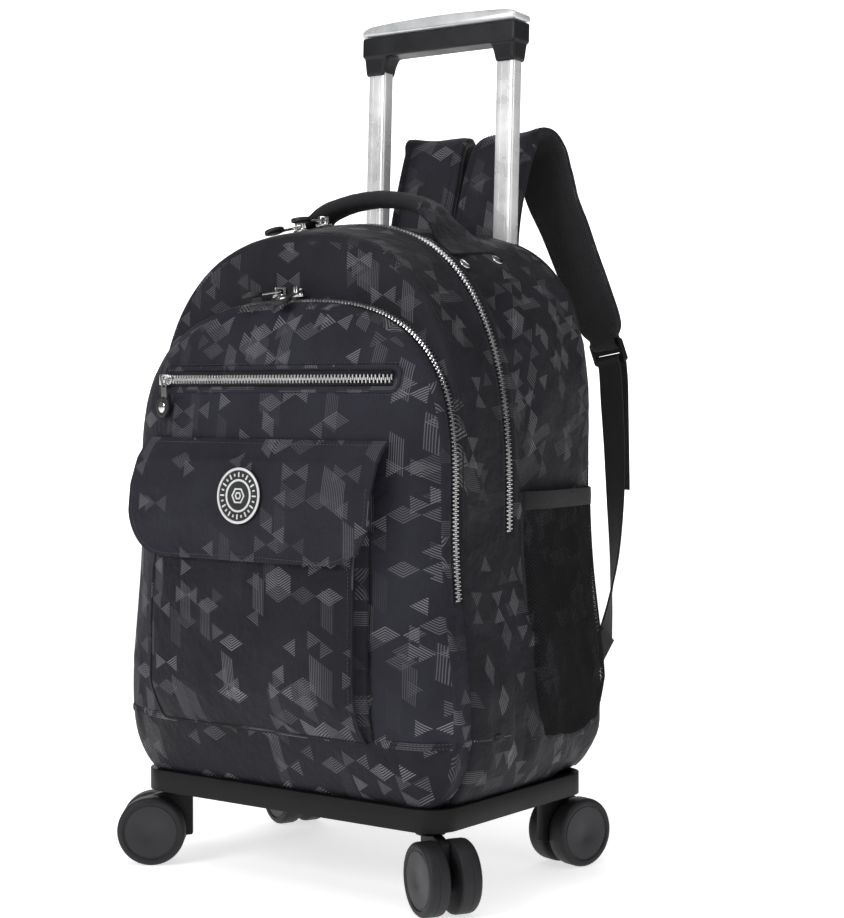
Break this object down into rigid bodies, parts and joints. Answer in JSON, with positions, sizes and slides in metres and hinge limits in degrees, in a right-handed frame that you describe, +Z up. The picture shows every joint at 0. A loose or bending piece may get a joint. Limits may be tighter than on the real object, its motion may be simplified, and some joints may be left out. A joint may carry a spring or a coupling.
{
  "type": "wheeled backpack",
  "caption": "Soft wheeled backpack with zipped front pockets, side net pockets, shoulder straps, a telescopic pull handle and a caster tray.",
  "frame": {"origin": "on the floor under the middle of the whole footprint", "axes": "+Z up, the front pockets face -Y, the wearer's back is at +Y, +X to the right as seen from the front"},
  "size_m": [0.3908, 0.4114, 0.7633],
  "materials": {
    "printed_cloth": "dark charcoal nylon with a fine grey line print",
    "mesh_padding": "black air mesh over foam",
    "black_webbing": "black ribbed webbing",
    "black_net": "black elastic net with a bound edge",
    "zip_metal": "silver teeth on black tape",
    "trim_metal": "polished nickel, darkened in its recesses",
    "badge_rubber": "moulded black and white rubber",
    "tyre_grey": "satin dark grey tyre and hub",
    "tube_aluminium": "satin anodised, grooved",
    "grip_plastic": "dark grey matte",
    "cap_silver": "silver lacquer",
    "black_plastic": "fine textured black"
  },
  "bodies": {
    "bag": {"base_tray": "black_plastic", "bag_rear_shell": "printed_cloth", "bag_front_shell": "printed_cloth", "front_pocket": "printed_cloth", "patch_pocket": "printed_cloth", "pocket_flap": "printed_cloth", "tube_sleeve": "printed_cloth", "back_pad": "mesh_padding", "outer_zip": "zip_metal", "inner_zip": "zip_metal", "straight_zip": "zip_metal", "badge": "badge_rubber", "slider_straight": "trim_metal", "slider_inner_left": "trim_metal", "slider_inner_right": "trim_metal", "slider_outer_left": "trim_metal", "slider_outer_right": "trim_metal", "net_pocket_right": "black_net", "shoulder_strap_right": "mesh_padding", "strap_lock_right": "black_plastic", "webbing_right": "black_webbing", "strap_wing_right": "black_webbing", "net_pocket_left": "black_net", "shoulder_strap_left": "mesh_padding", "strap_lock_left": "black_plastic", "webbing_left": "black_webbing", "strap_wing_left": "black_webbing", "carry_handle": "mesh_padding", "rivet_front_right": "trim_metal", "rivet_rear_right": "trim_metal", "rivet_front_left": "trim_metal", "rivet_rear_left": "trim_metal", "tube_guide_right": "tube_aluminium", "tube_guide_left": "tube_aluminium"},
    "pull_handle": {"pull_tube_right": "tube_aluminium", "pull_tube_left": "tube_aluminium", "grip": "grip_plastic", "grip_cap": "cap_silver"},
    "button": {"grip_button": "black_plastic"},
    "caster_front_left": {"caster_front_left": "black_plastic"},
    "wheel_front_left_a": {"wheel_front_left_a": "tyre_grey"},
    "wheel_front_left_b": {"wheel_front_left_b": "tyre_grey"},
    "caster_front_right": {"caster_front_right": "black_plastic"},
    "wheel_front_right_a": {"wheel_front_right_a": "tyre_grey"},
    "wheel_front_right_b": {"wheel_front_right_b": "tyre_grey"},
    "caster_rear_right": {"caster_rear_right": "black_plastic"},
    "wheel_rear_right_a": {"wheel_rear_right_a": "tyre_grey"},
    "wheel_rear_right_b": {"wheel_rear_right_b": "tyre_grey"},
    "caster_rear_left": {"caster_rear_left": "black_plastic"},
    "wheel_rear_left_a": {"wheel_rear_left_a": "tyre_grey"},
    "wheel_rear_left_b": {"wheel_rear_left_b": "tyre_grey"},
    "pull_straight": {"pull_straight": "trim_metal"},
    "pull_inner_left": {"pull_inner_left": "trim_metal"},
    "pull_inner_right": {"pull_inner_right": "trim_metal"},
    "pull_outer_left": {"pull_outer_left": "trim_metal"},
    "pull_outer_right": {"pull_outer_right": "trim_metal"}
  },
  "joints": [
    {"name": "handle_slide", "type": "slide", "parent": "bag", "child": "pull_handle", "axis": [0, 0.0393, 0.9992], "range_m": [-0.155, 0.24]},
    {"name": "button_press", "type": "slide", "parent": "pull_handle", "child": "button", "axis": [0, 0.0393, 0.9992], "range_m": [-0.003, 0], "stiffness_N_per_m": 400},
    {"name": "swivel_front_left", "type": "hinge", "parent": "bag", "child": "caster_front_left", "pos_m": [-0.138, -0.1267, 0.062], "axis": [0, 0, 1], "continuous": true},
    {"name": "roll_front_left_a", "type": "hinge", "parent": "caster_front_left", "child": "wheel_front_left_a", "pos_m": [-0.14845, -0.15231, 0.03], "axis": [0.6157, -0.788, 0], "continuous": true},
    {"name": "roll_front_left_b", "type": "hinge", "parent": "caster_front_left", "child": "wheel_front_left_b", "pos_m": [-0.16538, -0.13064, 0.03], "axis": [0.6157, -0.788, 0], "continuous": true},
    {"name": "swivel_front_right", "type": "hinge", "parent": "bag", "child": "caster_front_right", "pos_m": [0.138, -0.1267, 0.062], "axis": [0, 0, 1], "continuous": true},
    {"name": "roll_front_right_a", "type": "hinge", "parent": "caster_front_right", "child": "wheel_front_right_a", "pos_m": [0.16566, -0.12679, 0.03], "axis": [0.5, 0.866, 0], "continuous": true},
    {"name": "roll_front_right_b", "type": "hinge", "parent": "caster_front_right", "child": "wheel_front_right_b", "pos_m": [0.15191, -0.15061, 0.03], "axis": [0.5, 0.866, 0], "continuous": true},
    {"name": "swivel_rear_right", "type": "hinge", "parent": "bag", "child": "caster_rear_right", "pos_m": [0.138, 0.0493, 0.062], "axis": [0, 0, 1], "continuous": true},
    {"name": "roll_rear_right_a", "type": "hinge", "parent": "caster_rear_right", "child": "wheel_rear_right_a", "pos_m": [0.13093, 0.07604, 0.03], "axis": [-0.9659, 0.2588, 0], "continuous": true},
    {"name": "roll_rear_right_b", "type": "hinge", "parent": "caster_rear_right", "child": "wheel_rear_right_b", "pos_m": [0.15749, 0.06892, 0.03], "axis": [-0.9659, 0.2588, 0], "continuous": true},
    {"name": "swivel_rear_left", "type": "hinge", "parent": "bag", "child": "caster_rear_left", "pos_m": [-0.138, 0.0493, 0.062], "axis": [0, 0, 1], "continuous": true},
    {"name": "roll_rear_left_a", "type": "hinge", "parent": "caster_rear_left", "child": "wheel_rear_left_a", "pos_m": [-0.1654, 0.04554, 0.03], "axis": [-0.3746, -0.9272, 0], "continuous": true},
    {"name": "roll_rear_left_b", "type": "hinge", "parent": "caster_rear_left", "child": "wheel_rear_left_b", "pos_m": [-0.1551, 0.07104, 0.03], "axis": [-0.3746, -0.9272, 0], "continuous": true},
    {"name": "swing_straight", "type": "hinge", "parent": "bag", "child": "pull_straight", "pos_m": [-0.11124, -0.1732, 0.4272], "axis": [-0.9733, 0.2294, 0], "range_deg": [0, 100]},
    {"name": "swing_inner_left", "type": "hinge", "parent": "bag", "child": "pull_inner_left", "pos_m": [-0.01608, -0.131, 0.50122], "axis": [-0.6156, 0.788, -0.0086], "range_deg": [0, 75]},
    {"name": "swing_inner_right", "type": "hinge", "parent": "bag", "child": "pull_inner_right", "pos_m": [0.00401, -0.131, 0.5013], "axis": [-1, 0, 0.0013], "range_deg": [0, 100]},
    {"name": "swing_outer_left", "type": "hinge", "parent": "bag", "child": "pull_outer_left", "pos_m": [-0.05328, -0.0607, 0.56216], "axis": [-0.7656, 0.6157, -0.1866], "range_deg": [0, 95]},
    {"name": "swing_outer_right", "type": "hinge", "parent": "bag", "child": "pull_outer_right", "pos_m": [-0.02645, -0.0607, 0.56641], "axis": [-0.9579, 0.2756, -0.0804], "range_deg": [0, 95]}
  ]
}
